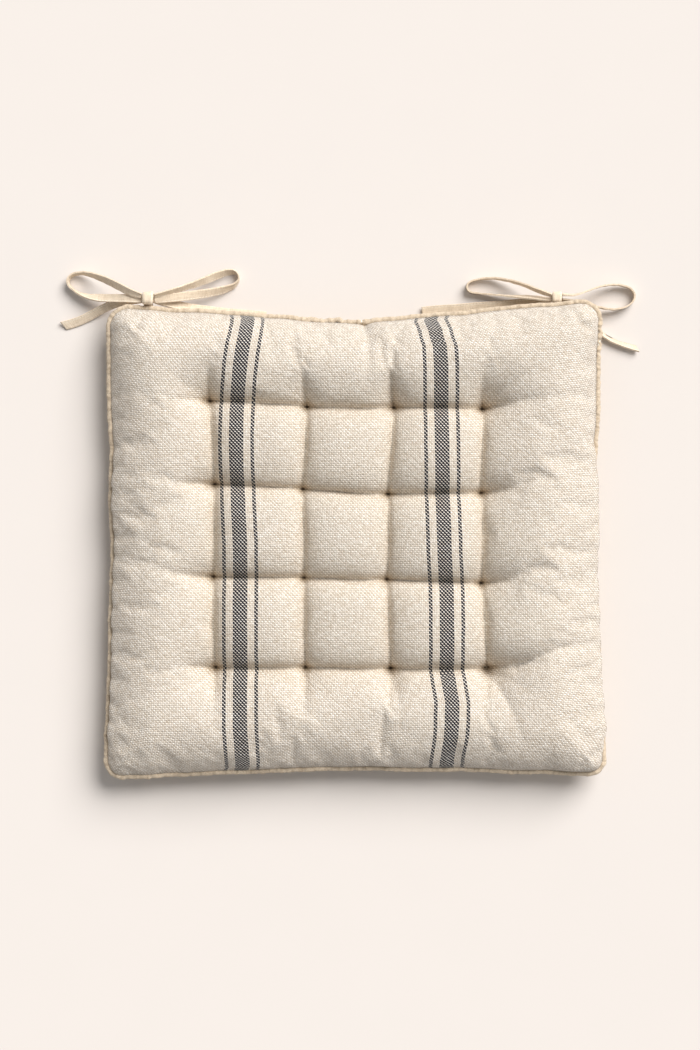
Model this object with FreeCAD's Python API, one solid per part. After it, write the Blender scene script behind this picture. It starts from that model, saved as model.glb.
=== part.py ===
"""Tufted chair seat pad with corded piping and a tape bow at each back corner, in millimetres.

The pad lies on a table with its back edge, the one with the ties, towards +Y and its face up.
"""
import FreeCAD, Part
import math
import os

from FreeCAD import Vector

# --- Driving dimensions ---------------------------------------------------------------------

PAD_THICKNESS = 50.0      # table to the crown of the pillows
SEAM_Z = 24.0             # height of the piping's middle
EDGE_ROLL = 45.0          # how far in from the seam each panel goes on curving
CLOTH = 1.0               # thickness of the woven panels
GAP = 0.1                 # air between two layers that are sewn together
FILL_GAP = 0.4            # air between the filling and the cloth round it

# The seam line, clockwise from the back left corner: X, Y and the radius it turns with there.
# The corners are small and tight, and each side pulls in a little towards its middle.
SEAM = [
    (-210.2, 199.2, 20.0),    # back left corner
    (-2.7, 183.7, 300.0),     # middle of the back, drawn in most
    (207.8, 203.2, 16.0),     # back right corner
    (201.8, 4.0, 2500.0),
    (211.3, -199.3, 13.0),    # front right corner
    (3.3, -193.3, 2500.0),
    (-211.2, -202.3, 13.0),   # front left corner
    (-206.2, -1.0, 2500.0),
]

PIPING_RADIUS = 2.5
PIPING_CLOTH = 0.8
PIPING_CORD_RADIUS = 1.6
PIPING_FLANGE = 1.6       # two layers of the bias strip
SEAM_ALLOWANCE = 12.0     # cloth turned in beyond the seam line
SEAM_INSET = 3.0          # the panels start here, against the piping
SEWING_THREAD_RADIUS = 0.25
SEAM_THREAD_INSET = 5.0

# The tufts, row by row from the back, each row from the left. They are placed by hand, so the grid
# of about 76 by 74 is a little uneven.
TUFTS = [
    [(-123.7, 117.4), (-41.2, 112.3), (32.7, 111.8), (108.0, 110.6)],
    [(-119.4, 46.8), (-44.6, 42.6), (27.6, 38.3), (106.7, 39.2)],
    [(-120.6, -31.8), (-43.8, -32.7), (26.8, -34.0), (106.7, -37.4)],
    [(-118.6, -108.8), (-42.4, -108.8), (30.2, -109.6), (112.2, -109.6)],
]
TOP_DIMPLE = 17.0         # depth of a tuft's hollow in the face, and the radius of its rounded side
BOTTOM_DIMPLE = 9.0       # the same in the underside
DIMPLE_FLOOR = 3.0        # radius of the flat where the stitch lies
TUFT_THREAD_RADIUS = 0.6
TUFT_STITCH_LENGTH = 5.0

TAPE_WIDTH = 8.0
TAPE_THICKNESS = 1.0
TIE_RADIUS = 1.95         # a round cord with the cross-section of the folded tape, 8 by 1.5
TIE_ROOT_DROP = 3.3       # how far the tape dips to pass under the piping

KNOTS = {
    "left": {"centre": Vector(-176.2, 204.6, 28.0), "radius": 5.2, "length": 10.6},
    "right": {"centre": Vector(171.7, 206.0, 19.0), "radius": 4.6, "length": 9.4},
}

# The ties' middle lines, each from its knot. A loop ends where it began; a tail ends cut off.
TIES = {
    "left_loop_outer": [
        (-181.5, 206.8, 29.5), (-190.0, 208.8, 28.0), (-203.0, 216.0, 20.5), (-217.0, 223.0, 12.5),
        (-232.0, 228.0, 6.5), (-243.5, 227.0, 4.3), (-247.5, 219.5, 4.1), (-240.5, 212.0, 4.6),
        (-229.0, 207.3, 7.8), (-213.5, 205.6, 14.0), (-200.0, 205.2, 20.5), (-190.0, 204.4, 25.0),
        (-181.5, 203.0, 26.4)],
    "left_loop_inner": [
        (-170.9, 206.8, 29.5), (-161.0, 209.0, 28.2), (-147.0, 213.6, 22.0), (-131.5, 219.6, 14.2),
        (-117.0, 225.8, 7.8), (-105.0, 229.0, 4.9), (-98.6, 227.4, 4.2), (-96.3, 222.9, 4.1),
        (-98.9, 218.6, 4.2), (-105.0, 215.5, 4.9), (-115.5, 212.6, 7.0), (-129.0, 209.8, 11.8),
        (-144.0, 207.2, 18.0), (-159.5, 205.0, 24.2), (-170.9, 203.0, 26.4)],
    "left_tail_outer": [
        (-181.0, 203.6, 20.2), (-192.0, 203.2, 18.2), (-204.5, 201.6, 12.6), (-217.0, 196.8, 6.8),
        (-228.5, 190.6, 3.0), (-240.0, 185.4, 2.1), (-250.5, 182.8, 2.0)],
    "left_tail_inner": [
        (-172.4, 203.2, 20.2), (-158.5, 200.9, 17.0), (-141.5, 198.6, 11.4), (-124.0, 197.4, 6.2),
        (-107.0, 195.9, 3.0), (-91.0, 194.8, 2.0), (-76.5, 193.2, 2.2)],
    "right_loop_inner": [
        (167.0, 208.0, 20.4), (158.0, 210.6, 20.0), (147.5, 215.6, 15.8), (133.5, 220.8, 9.8),
        (119.0, 223.6, 5.8), (107.0, 223.0, 4.5), (99.0, 221.2, 4.2), (95.5, 218.0, 4.1),
        (95.6, 213.8, 4.1), (99.2, 211.0, 4.3), (106.5, 210.4, 4.6), (118.0, 209.4, 6.2),
        (132.0, 207.7, 9.2), (146.0, 206.8, 12.8), (157.5, 205.3, 16.0), (167.0, 204.0, 17.4)],
    "right_loop_outer": [
        (176.4, 208.0, 20.4), (185.5, 207.0, 19.6), (197.0, 211.3, 15.8), (211.0, 216.8, 10.2),
        (226.0, 218.2, 6.0), (237.6, 214.4, 4.3), (240.2, 205.6, 4.1), (232.5, 198.4, 4.4),
        (220.5, 196.2, 6.2), (207.0, 198.4, 9.4), (195.0, 201.6, 12.8), (185.0, 203.0, 16.2),
        (176.4, 204.0, 17.4)],
    "right_tail_inner": [
        (167.4, 204.3, 11.0), (155.0, 203.8, 8.6), (140.0, 202.2, 4.6), (123.0, 200.4, 2.5),
        (105.0, 199.4, 2.0), (87.5, 197.6, 2.1), (71.5, 196.8, 2.0), (57.0, 195.2, 2.1)],
    "right_tail_outer": [
        (176.0, 202.8, 11.4), (185.0, 198.4, 7.4), (194.5, 191.0, 3.8), (203.5, 182.2, 2.2),
        (214.0, 173.4, 2.0), (227.5, 166.8, 2.0), (242.0, 163.2, 2.1)],
}


def save(shape, node):
    """Write one sub-part."""
    shape.exportStep(f"parts/{node}.step")


# --- The seam line and the closed forms inside it -------------------------------------------

def arc_at(before, corner, after, radius):
    """The tangent arc that rounds one corner of a path."""
    inward = (corner - before).normalize()
    onward = (after - corner).normalize()
    half_turn = inward.getAngle(onward) / 2
    reach = radius * math.tan(half_turn)
    crown = radius / math.cos(half_turn) - radius
    middle = corner + (onward - inward).normalize() * crown
    return Part.Arc(corner - inward * reach, middle, corner + onward * reach)


def path(points, radii, closed):
    """Straight runs joined by tangent arcs, one radius for each corner."""
    count = len(points)
    corners = range(count) if closed else range(1, count - 1)
    arcs = [arc_at(points[i - 1], points[i], points[(i + 1) % count], radii[i]) for i in corners]
    edges = [] if closed else [Part.LineSegment(points[0], arcs[0].StartPoint).toShape()]
    for i, arc in enumerate(arcs):
        edges.append(arc.toShape())
        last = i == len(arcs) - 1
        if last and not closed:
            edges.append(Part.LineSegment(arc.EndPoint, points[-1]).toShape())
        else:
            edges.append(Part.LineSegment(arc.EndPoint, arcs[(i + 1) % len(arcs)].StartPoint).toShape())
    return Part.Wire(edges)


def seam_outline(inset, z):
    """The seam line moved in by inset, at height z. Corners grow rounder further in."""
    count = len(SEAM)
    points = [Vector(x, y, z) for x, y, _ in SEAM]
    starts, runs = [], []
    for i in range(count):
        run = (points[(i + 1) % count] - points[i]).normalize()
        starts.append(points[i] + Vector(run.y, -run.x, 0) * inset)
        runs.append(run)
    moved, radii = [], []
    for i in range(count):
        before, here = runs[i - 1], runs[i]
        offset = starts[i] - starts[i - 1]
        turn = before.x * here.y - before.y * here.x
        along = (offset.x * here.y - offset.y * here.x) / turn
        moved.append(starts[i - 1] + before * along)
        radii.append(SEAM[i][2] + (0.4 * inset if turn < 0 else inset))
    return path(moved, radii, closed=True)


def panel_form(start_z, crown_z, offset):
    """A closed puffy form from the seam to a flat crown, shrunk by offset all round."""
    side = 1 if crown_z > start_z else -1
    steep = abs(crown_z - start_z) - offset
    sections = []
    for degrees in range(0, 105, 15):
        angle = math.radians(degrees)
        inset = SEAM_INSET + offset + (EDGE_ROLL - offset) * (1 - math.cos(angle))
        sections.append(seam_outline(inset, start_z + side * steep * math.sin(angle)))
    return Part.makeLoft(sections, True, False)


def slab(inset, low_z, high_z):
    """A flat plate of the pad's outline, moved in by inset."""
    return Part.Face(seam_outline(inset, low_z)).extrude(Vector(0, 0, high_z - low_z))


def dimple(x, y, face_z, depth, offset):
    """The hollow that a tuft pulls in a face, grown by offset; depth is negative in the underside."""
    side = 1 if depth > 0 else -1
    lip = DIMPLE_FLOOR + abs(depth)
    radius = abs(depth) - offset
    arc_z = face_z - depth
    floor_z = arc_z - side * (offset + 0.001)
    rim_z = arc_z + side * radius
    clear_z = rim_z + side * 5
    diagonal = radius * math.sqrt(0.5)
    rim, foot = Vector(lip, 0, rim_z), Vector(lip - radius, 0, arc_z)
    corners = [foot, Vector(lip - radius, 0, floor_z), Vector(0, 0, floor_z), Vector(0, 0, clear_z),
               Vector(lip, 0, clear_z), rim]
    edges = [Part.makeLine(a, b) for a, b in zip(corners, corners[1:])]
    edges.append(Part.Arc(rim, Vector(lip - diagonal, 0, arc_z + side * diagonal), foot).toShape())
    hollow = Part.Face(Part.Wire(edges)).revolve(Vector(0, 0, 0), Vector(0, 0, 1), 360)
    hollow.translate(Vector(x, y, 0))
    return hollow


def dimples(face_z, depth, offset):
    return [dimple(x, y, face_z, depth, offset) for row in TUFTS for x, y in row]


def tuft_holes(radius):
    return [Part.makeCylinder(radius, PAD_THICKNESS, Vector(x, y, 0)) for row in TUFTS for x, y in row]


# --- Cover, piping and filling --------------------------------------------------------------

flange_top = SEAM_Z + PIPING_FLANGE / 2
flange_bottom = SEAM_Z - PIPING_FLANGE / 2
top_start = flange_top + GAP
bottom_start = flange_bottom - GAP
fill_inset = SEAM_INSET + SEAM_ALLOWANCE + FILL_GAP


def panel(start_z, crown_z, dimple_depth):
    """One panel of the cover: a shell of cloth with its edge turned in along the seam."""
    side = 1 if crown_z > start_z else -1
    outside = panel_form(start_z, crown_z, 0.0).cut(dimples(crown_z, dimple_depth, 0.0))
    inside = panel_form(start_z, crown_z, CLOTH).cut(dimples(crown_z, dimple_depth, CLOTH))
    low, high = sorted((start_z, start_z + side * CLOTH))
    turned_in = slab(SEAM_INSET, low, high).cut(slab(SEAM_INSET + SEAM_ALLOWANCE, low, high))
    hollow = inside.cut(turned_in)
    return outside.cut([hollow] + tuft_holes(TUFT_THREAD_RADIUS + GAP))


def tie_root(side):
    """The stretch of tape caught in the seam: out under the piping, then up behind it to a high knot."""
    knot_centre = KNOTS[side]["centre"]
    middle = SEAM[1]
    corner = SEAM[0] if side == "left" else SEAM[2]
    slope = (corner[1] - middle[1]) / (corner[0] - middle[0])
    seam_y = middle[1] + slope * (knot_centre.x - middle[0])
    seam_z = bottom_start - TAPE_THICKNESS / 2 - GAP
    dip_z = SEAM_Z - TIE_ROOT_DROP
    route = [(seam_y - SEAM_ALLOWANCE, seam_z), (seam_y - 5, seam_z), (seam_y - 1.5, dip_z),
             (seam_y + 1, dip_z)]
    if knot_centre.z > SEAM_Z:
        behind = seam_y + PIPING_RADIUS + TAPE_THICKNESS + GAP
        route += [(seam_y + 2.5, dip_z + 0.3), (behind, SEAM_Z - 1.5)]
    return strip([Vector(knot_centre.x, y, z) for y, z in route], TAPE_WIDTH, TAPE_THICKNESS)


def strip(points, width, thickness):
    """A flat band along a path in the YZ plane, width across X."""
    half = thickness / 2
    upper, lower = [], []
    for i, point in enumerate(points):
        before = points[max(i - 1, 0)]
        after = points[min(i + 1, len(points) - 1)]
        run = (after - before).normalize()
        across = Vector(0, -run.z, run.y) * half
        upper.append(point + across)
        lower.append(point - across)
    outline = upper + lower[::-1]
    face = Part.Face(Part.makePolygon(outline + outline[:1]))
    face.translate(Vector(-width / 2, 0, 0))
    return face.extrude(Vector(width, 0, 0))


def ring(inset, z, radius):
    """A round section carried all the way round the seam."""
    spine = seam_outline(inset, z)
    start = spine.Edges[0].Curve.value(spine.Edges[0].FirstParameter)
    tangent = spine.Edges[0].tangentAt(spine.Edges[0].FirstParameter)
    circle = Part.Wire(Part.Circle(start, tangent, radius).toShape())
    return spine.makePipeShell([circle], True, False)


# --- Ties -----------------------------------------------------------------------------------

def tie(node):
    """A tie's stretch of tape, as a plain round cord along its route."""
    points = [Vector(*point) for point in TIES[node]]
    radii, runs = [0.0], [(b - a).Length for a, b in zip(points, points[1:])]
    for i in range(1, len(points) - 1):
        turn = (points[i] - points[i - 1]).getAngle(points[i + 1] - points[i])
        radii.append(0.45 * min(runs[i - 1], runs[i]) / math.tan(turn / 2))
    spine = path(points, radii + [0.0], closed=False)
    circle = Part.Wire(Part.Circle(points[0], points[1] - points[0], TIE_RADIUS).toShape())
    cord = spine.makePipeShell([circle], True, False)
    section = math.pi * TIE_RADIUS ** 2
    print(f"{node}: length {spine.Length:.0f} mm, smallest radius {min(radii[1:]):.1f} mm, "
          f"volume over section times length {cord.Volume / (section * spine.Length):.3f}, "
          f"lowest point {cord.BoundBox.ZMin:.2f} mm")
    return cord


def knot(side):
    """The wrapped tape in the middle of a bow, rounded at its ends."""
    size = KNOTS[side]
    half, radius = size["length"] / 2, size["radius"]
    left_rim, right_rim = Vector(-half, 0, radius * 0.8), Vector(half, 0, radius * 0.8)
    left_end, right_end = Vector(-half, 0, 0), Vector(half, 0, 0)
    profile = Part.Wire([
        Part.makeLine(left_end, left_rim),
        Part.Arc(left_rim, Vector(0, 0, radius), right_rim).toShape(),
        Part.makeLine(right_rim, right_end),
        Part.makeLine(right_end, left_end)])
    body = Part.Face(profile).revolve(Vector(0, 0, 0), Vector(1, 0, 0), 360)
    body.translate(size["centre"])
    return body


# --- Build ----------------------------------------------------------------------------------

os.makedirs("parts", exist_ok=True)

roots = {side: tie_root(side) for side in KNOTS}
root_slots = [tie_root(side).makeOffsetShape(GAP, 0.001) for side in KNOTS]

top_cover = panel(top_start, PAD_THICKNESS, TOP_DIMPLE)
bottom_cover = panel(bottom_start, 0.0, -BOTTOM_DIMPLE).cut(root_slots)
save(top_cover, "top_cover")
save(bottom_cover, "bottom_cover")

piping_tube = ring(0.0, SEAM_Z, PIPING_RADIUS)
flange = slab(0.0, flange_bottom, flange_top).cut(
    slab(SEAM_INSET + SEAM_ALLOWANCE, flange_bottom, flange_top))
piping_bore = ring(0.0, SEAM_Z, PIPING_RADIUS - PIPING_CLOTH)
save(piping_tube.fuse(flange).cut(piping_bore), "piping_cover")
save(ring(0.0, SEAM_Z, PIPING_CORD_RADIUS), "piping_cord")

thread_lift = CLOTH + SEWING_THREAD_RADIUS + GAP
save(ring(SEAM_THREAD_INSET, top_start + thread_lift, SEWING_THREAD_RADIUS), "seam_needle_thread")
save(ring(SEAM_THREAD_INSET, bottom_start - thread_lift, SEWING_THREAD_RADIUS), "seam_bobbin_thread")

fill_top_start = top_start + thread_lift + SEWING_THREAD_RADIUS + FILL_GAP
fill_bottom_start = bottom_start - thread_lift - SEWING_THREAD_RADIUS - FILL_GAP
fill_offset = CLOTH + FILL_GAP
filling = slab(fill_inset, fill_bottom_start, fill_top_start)
filling = filling.fuse([
    panel_form(top_start, PAD_THICKNESS, fill_offset).cut(slab(0.0, top_start - 1, fill_top_start)),
    panel_form(bottom_start, 0.0, fill_offset).cut(slab(0.0, fill_bottom_start, bottom_start + 1))])
filling = filling.cut(
    dimples(PAD_THICKNESS, TOP_DIMPLE, fill_offset)
    + dimples(0.0, -BOTTOM_DIMPLE, fill_offset)
    + tuft_holes(TUFT_THREAD_RADIUS + FILL_GAP)
    + root_slots)
save(filling.removeSplitter(), "filling")

top_floor = PAD_THICKNESS - TOP_DIMPLE
for row_number, row in enumerate(TUFTS, 1):
    for column_number, (x, y) in enumerate(row, 1):
        top_z = top_floor + TUFT_THREAD_RADIUS + GAP
        bottom_z = BOTTOM_DIMPLE - TUFT_THREAD_RADIUS - GAP
        stitch_start = x - TUFT_STITCH_LENGTH / 2
        pieces = [
            Part.makeCylinder(TUFT_THREAD_RADIUS, top_z - bottom_z, Vector(x, y, bottom_z)),
            Part.makeCylinder(TUFT_THREAD_RADIUS, TUFT_STITCH_LENGTH, Vector(stitch_start, y, top_z),
                              Vector(1, 0, 0)),
            Part.makeCylinder(TUFT_THREAD_RADIUS, TUFT_STITCH_LENGTH, Vector(stitch_start, y, bottom_z),
                              Vector(1, 0, 0))]
        save(pieces[0].fuse(pieces[1:]), f"tuft_thread_r{row_number}c{column_number}")

for side in KNOTS:
    save(roots[side], f"{side}_tie_root")
    save(knot(side), f"{side}_knot")
for node in TIES:
    save(tie(node), node)
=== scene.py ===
import math

import bpy
import numpy as np
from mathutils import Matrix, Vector
from mathutils.kdtree import KDTree


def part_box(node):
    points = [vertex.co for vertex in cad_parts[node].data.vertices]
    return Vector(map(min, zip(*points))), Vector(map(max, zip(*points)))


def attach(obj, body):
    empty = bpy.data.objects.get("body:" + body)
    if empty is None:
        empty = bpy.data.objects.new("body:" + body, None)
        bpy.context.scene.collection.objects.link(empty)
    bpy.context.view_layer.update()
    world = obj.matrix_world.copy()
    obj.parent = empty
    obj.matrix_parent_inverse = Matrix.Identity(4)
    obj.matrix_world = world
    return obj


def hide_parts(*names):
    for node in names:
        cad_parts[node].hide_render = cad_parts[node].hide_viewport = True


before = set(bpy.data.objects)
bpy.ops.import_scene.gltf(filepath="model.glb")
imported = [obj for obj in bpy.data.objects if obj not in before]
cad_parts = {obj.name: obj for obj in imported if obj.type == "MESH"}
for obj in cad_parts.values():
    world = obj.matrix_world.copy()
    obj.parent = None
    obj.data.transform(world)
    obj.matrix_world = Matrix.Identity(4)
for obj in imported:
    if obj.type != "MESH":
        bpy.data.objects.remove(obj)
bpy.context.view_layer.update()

# ---------------------------------------------------------------------------------------------
# Table, daylight and camera
# A pale table top, soft light from a high window at the back right, and a camera straight above
# the pad. Lengths are in metres, and mm turns millimetres into them.
# ---------------------------------------------------------------------------------------------

mm = 0.001


def add(tree, kind, values=(), **settings):
    """Puts a node into a tree, with plain values or links on its inputs."""
    made = tree.nodes.new(kind)
    for name, value in settings.items():
        setattr(made, name, value)
    for socket, value in dict(values).items():
        if isinstance(value, bpy.types.NodeSocket):
            tree.links.new(value, made.inputs[socket])
        else:
            made.inputs[socket].default_value = value
    return made


def blend_colours(tree, share, first, second, mode="MIX"):
    """Two colours mixed or multiplied, by a share from 0 to 1."""
    mixer = add(tree, "ShaderNodeMix", {0: share, 6: first, 7: second}, data_type="RGBA", blend_type=mode)
    return mixer.outputs[2]


def new_material(name):
    """An empty material with a Principled BSDF on its output. Returns the material, tree and shader."""
    material = bpy.data.materials.new(name)
    material.use_nodes = True
    tree = material.node_tree
    tree.nodes.clear()
    shader = add(tree, "ShaderNodeBsdfPrincipled")
    add(tree, "ShaderNodeOutputMaterial", {"Surface": shader.outputs[0]})
    return material, tree, shader


def mesh_piece(name, points, faces, material, cloth=None):
    """A smooth mesh object. cloth gives each point its place on the flat cloth, in metres."""
    mesh = bpy.data.meshes.new(name)
    mesh.from_pydata([tuple(p) for p in points], [], [tuple(f) for f in faces])
    mesh.polygons.foreach_set("use_smooth", [True] * len(mesh.polygons))
    if cloth is not None:
        place = mesh.attributes.new("cloth", "FLOAT_VECTOR", "POINT")
        flat = np.zeros((len(points), 3), np.float32)
        flat[:, :2] = cloth
        place.data.foreach_set("vector", flat.ravel())
    mesh.materials.append(material)
    piece = bpy.data.objects.new(name, mesh)
    bpy.context.scene.collection.objects.link(piece)
    return piece


TABLE_SIZE = 60.0
table_paint, tree, shader = new_material("table_paint")
speckle = add(tree, "ShaderNodeTexNoise", {"Scale": 900.0, "Detail": 2.0}).outputs["Fac"]
table_tone = blend_colours(tree, speckle, (0.705, 0.657, 0.626, 1.0), (0.716, 0.667, 0.636, 1.0))
tree.links.new(table_tone, shader.inputs["Base Color"])
shader.inputs["Roughness"].default_value = 0.75
shader.inputs["Specular IOR Level"].default_value = 0.1
half = TABLE_SIZE / 2
table = mesh_piece("table", [(-half, -half, 0), (half, -half, 0), (half, half, 0), (-half, half, 0)],
                   [(0, 1, 2, 3)], table_paint)

LIGHT_FROM = Vector((0.46, 0.56, 0.69))
window = bpy.data.lights.new("window", "SUN")
window.angle = math.radians(42)
window.energy = 4.45
window.color = (1.0, 0.982, 0.955)
window_lamp = bpy.data.objects.new("window", window)
window_lamp.location = LIGHT_FROM * 3.0
window_lamp.rotation_euler = LIGHT_FROM.to_track_quat("Z", "Y").to_euler()
bpy.context.scene.collection.objects.link(window_lamp)

sky = bpy.data.worlds.new("room_light")
sky.use_nodes = True
sky.node_tree.nodes["Background"].inputs["Color"].default_value = (0.985, 0.995, 0.99, 1.0)
sky.node_tree.nodes["Background"].inputs["Strength"].default_value = 0.37
bpy.context.scene.world = sky
bpy.context.scene.view_settings.view_transform = "Standard"

VIEW_CENTRE = (-4.6 * mm, 12.0 * mm)
VIEW_HEIGHT = 892.0 * mm       # how much of the table the view takes in
LENS = 100.0
lens = bpy.data.cameras.new("camera")
lens.lens = LENS
lens.sensor_width = 36.0
camera = bpy.data.objects.new("camera", lens)
camera_height = VIEW_HEIGHT * LENS / lens.sensor_width
camera.location = (VIEW_CENTRE[0], VIEW_CENTRE[1], camera_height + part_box("piping_cover")[1].z)
bpy.context.scene.collection.objects.link(camera)
bpy.context.scene.camera = camera

# ---------------------------------------------------------------------------------------------
# Tie tapes
# Cotton tape, folded lengthways to 8 mm and stitched along its open edge, tied in a bow at each
# back corner: two loops and two cut ends to a bow. It is limp, and lies where it falls.
# ---------------------------------------------------------------------------------------------

# Each route, in millimetres, starts at its knot. The loops come back to it, and the tails end cut off.
TIE_ROUTES = {
    "left_loop_outer": [
        (-181.5, 206.8, 29.5), (-190.0, 208.8, 28.0), (-203.0, 216.0, 20.5), (-217.0, 223.0, 12.5),
        (-232.0, 228.0, 6.5), (-243.5, 227.0, 4.3), (-247.5, 219.5, 4.1), (-240.5, 212.0, 4.6),
        (-229.0, 207.3, 7.8), (-213.5, 205.6, 14.0), (-200.0, 205.2, 20.5), (-190.0, 204.4, 25.0),
        (-181.5, 203.0, 26.4)],
    "left_loop_inner": [
        (-170.9, 206.8, 29.5), (-161.0, 209.0, 28.2), (-147.0, 213.6, 22.0), (-131.5, 219.6, 14.2),
        (-118.0, 225.8, 7.8), (-107.5, 229.5, 4.9), (-101.6, 228.0, 4.2), (-99.4, 223.4, 4.1),
        (-101.9, 218.6, 4.2), (-107.0, 215.5, 4.9), (-115.5, 212.6, 7.0), (-129.0, 209.8, 11.8),
        (-144.0, 207.2, 18.0), (-159.5, 205.0, 24.2), (-170.9, 203.0, 26.4)],
    "left_tail_outer": [
        (-181.0, 203.6, 20.2), (-192.0, 203.2, 18.2), (-204.5, 201.6, 12.6), (-217.0, 196.8, 6.8),
        (-228.5, 190.6, 3.0), (-240.0, 185.4, 2.1), (-250.5, 182.8, 2.0)],
    "left_tail_inner": [
        (-172.4, 203.2, 20.2), (-158.5, 200.9, 17.0), (-141.5, 197.6, 11.4), (-124.0, 195.6, 6.2),
        (-107.0, 193.9, 3.0), (-91.0, 192.6, 2.0), (-76.5, 191.2, 2.2)],
    "right_loop_inner": [
        (167.0, 208.0, 20.4), (158.0, 210.6, 20.0), (147.5, 215.6, 15.8), (133.5, 220.8, 9.8),
        (119.0, 223.6, 5.8), (107.0, 223.0, 4.5), (99.0, 221.2, 4.2), (95.5, 218.0, 4.1),
        (95.6, 213.8, 4.1), (99.2, 211.0, 4.3), (106.5, 210.4, 4.6), (118.0, 209.4, 6.2),
        (132.0, 207.7, 9.2), (146.0, 206.8, 12.8), (157.5, 205.3, 16.0), (167.0, 204.0, 17.4)],
    "right_loop_outer": [
        (176.4, 208.0, 20.4), (185.5, 207.0, 19.6), (197.0, 211.3, 15.8), (211.0, 216.8, 10.2),
        (226.0, 218.2, 6.0), (237.6, 214.4, 4.3), (240.2, 205.6, 4.1), (232.5, 198.4, 4.4),
        (220.5, 196.2, 6.2), (207.0, 198.4, 9.4), (195.0, 201.6, 12.8), (185.0, 203.0, 16.2),
        (176.4, 204.0, 17.4)],
    "right_tail_inner": [
        (167.4, 204.3, 11.0), (155.0, 203.8, 8.6), (140.0, 202.2, 4.6), (123.0, 200.4, 2.5),
        (105.0, 199.4, 2.0), (87.5, 197.6, 2.1), (71.5, 196.8, 2.0), (57.0, 195.2, 2.1)],
    "right_tail_outer": [
        (176.0, 202.8, 11.4), (185.0, 198.4, 7.4), (194.5, 191.0, 3.8), (203.5, 182.2, 2.2),
        (214.0, 173.4, 2.0), (227.5, 166.8, 2.0), (242.0, 163.2, 2.1)],
}

# How the tape is turned along its length, from 0 lying flat to 90 standing on edge: at a share of
# the length, that many degrees.
TIE_TURNS = {
    "left_loop_outer": [(0, 35), (0.25, 50), (0.42, 78), (0.58, 82), (0.75, 30), (1, 8)],
    "left_loop_inner": [(0, -64), (0.15, -62), (0.35, -42), (0.45, -60), (0.52, -95), (0.62, -135),
                        (0.8, -160), (1, -165)],
    "left_tail_outer": [(0, 35), (0.5, 28), (1, 20)],
    "left_tail_inner": [(0, 25), (0.5, 20), (1, 18)],
    "right_loop_inner": [(0, 60), (0.15, 78), (0.5, 92), (0.75, 80), (1, 50)],
    "right_loop_outer": [(0, 70), (0.15, 88), (0.5, 92), (0.8, 88), (1, 65)],
    "right_tail_inner": [(0, 40), (0.4, 26), (1, 16)],
    "right_tail_outer": [(0, 45), (0.35, 66), (0.7, 64), (1, 52)],
}
TAPE_WIDTH = 8.0 * mm
TAPE_THICKNESS = 1.5 * mm
TAPE_YARN = 0.55 * mm
CUT_SLANT = {"left_tail_outer": 0.45, "right_tail_outer": 0.5}    # a slanting cut, else a square one


def maths(tree, operation, *values):
    """The result of one maths node."""
    return add(tree, "ShaderNodeMath", enumerate(values), operation=operation).outputs[0]


def new_group(name, inputs, outputs):
    """An empty node group with named inputs and outputs. Returns its tree, input node and output node."""
    group = bpy.data.node_groups.new(name, "ShaderNodeTree")
    for label, kind, value in inputs:
        socket = group.interface.new_socket(label, in_out="INPUT", socket_type="NodeSocket" + kind)
        if value is not None:
            socket.default_value = value
    for label, kind in outputs:
        group.interface.new_socket(label, in_out="OUTPUT", socket_type="NodeSocket" + kind)
    return group, group.nodes.new("NodeGroupInput"), group.nodes.new("NodeGroupOutput")


def place(tree, group, values):
    """Puts a node group into a material, with its own values."""
    return add(tree, "ShaderNodeGroup", values, node_tree=group)


def finish_surface(tree, shader, colour, relief, depth, strength, roughness, specular=0.5, sheen=0.0):
    """Joins a material's colour and relief to its shader, with its plain settings."""
    tree.links.new(colour, shader.inputs["Base Color"])
    shader.inputs["Roughness"].default_value = roughness
    shader.inputs["Specular IOR Level"].default_value = specular
    shader.inputs["Sheen Weight"].default_value = sheen
    bump = add(tree, "ShaderNodeBump", {"Height": relief, "Distance": depth, "Strength": strength})
    tree.links.new(bump.outputs[0], shader.inputs["Normal"])


# A plain weave: each yarn goes over one and under one. Warp is the share that shows the yarns that
# run along Y, Lead how far they stand above the others, Height the relief, Yarn the number of the
# warp yarn, and Tone how much each stretch of yarn differs from the next.
weave, given, result = new_group(
    "plain_weave",
    [("Cloth", "Vector", None), ("Warp Pitch", "Float", 0.001), ("Weft Pitch", "Float", 0.001),
     ("Wander", "Float", 0.3)],
    [("Height", "Float"), ("Warp", "Float"), ("Lead", "Float"), ("Yarn", "Float"), ("Tone", "Float")])
YARN_SLANT = 0.6             # the yarns' twist makes each stretch lean
YARN_MIDDLE, YARN_SWING = 0.55, 0.45    # a yarn's height, and how far it goes over and under
drift = add(weave, "ShaderNodeTexNoise", {"Vector": given.outputs["Cloth"], "Scale": 70.0, "Detail": 2.0})
drift_parts = add(weave, "ShaderNodeSeparateXYZ", {0: drift.outputs["Color"]})
cloth_parts = add(weave, "ShaderNodeSeparateXYZ", {0: given.outputs["Cloth"]})
counts = []
for axis, pitch in ((0, "Warp Pitch"), (1, "Weft Pitch")):
    stray = maths(weave, "MULTIPLY", maths(weave, "SUBTRACT", drift_parts.outputs[axis], 0.5),
                  given.outputs["Wander"])
    plain = maths(weave, "DIVIDE", cloth_parts.outputs[axis], given.outputs[pitch])
    counts.append(maths(weave, "ADD", plain, stray))
whole = [maths(weave, "FLOOR", count) for count in counts]
round_backs = []
for count in counts:
    ridge = maths(weave, "SINE", maths(weave, "MULTIPLY", maths(weave, "FRACT", count), math.pi))
    round_backs.append(maths(weave, "POWER", maths(weave, "MAXIMUM", ridge, 0.0), 0.6))
over_under = []
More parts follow.
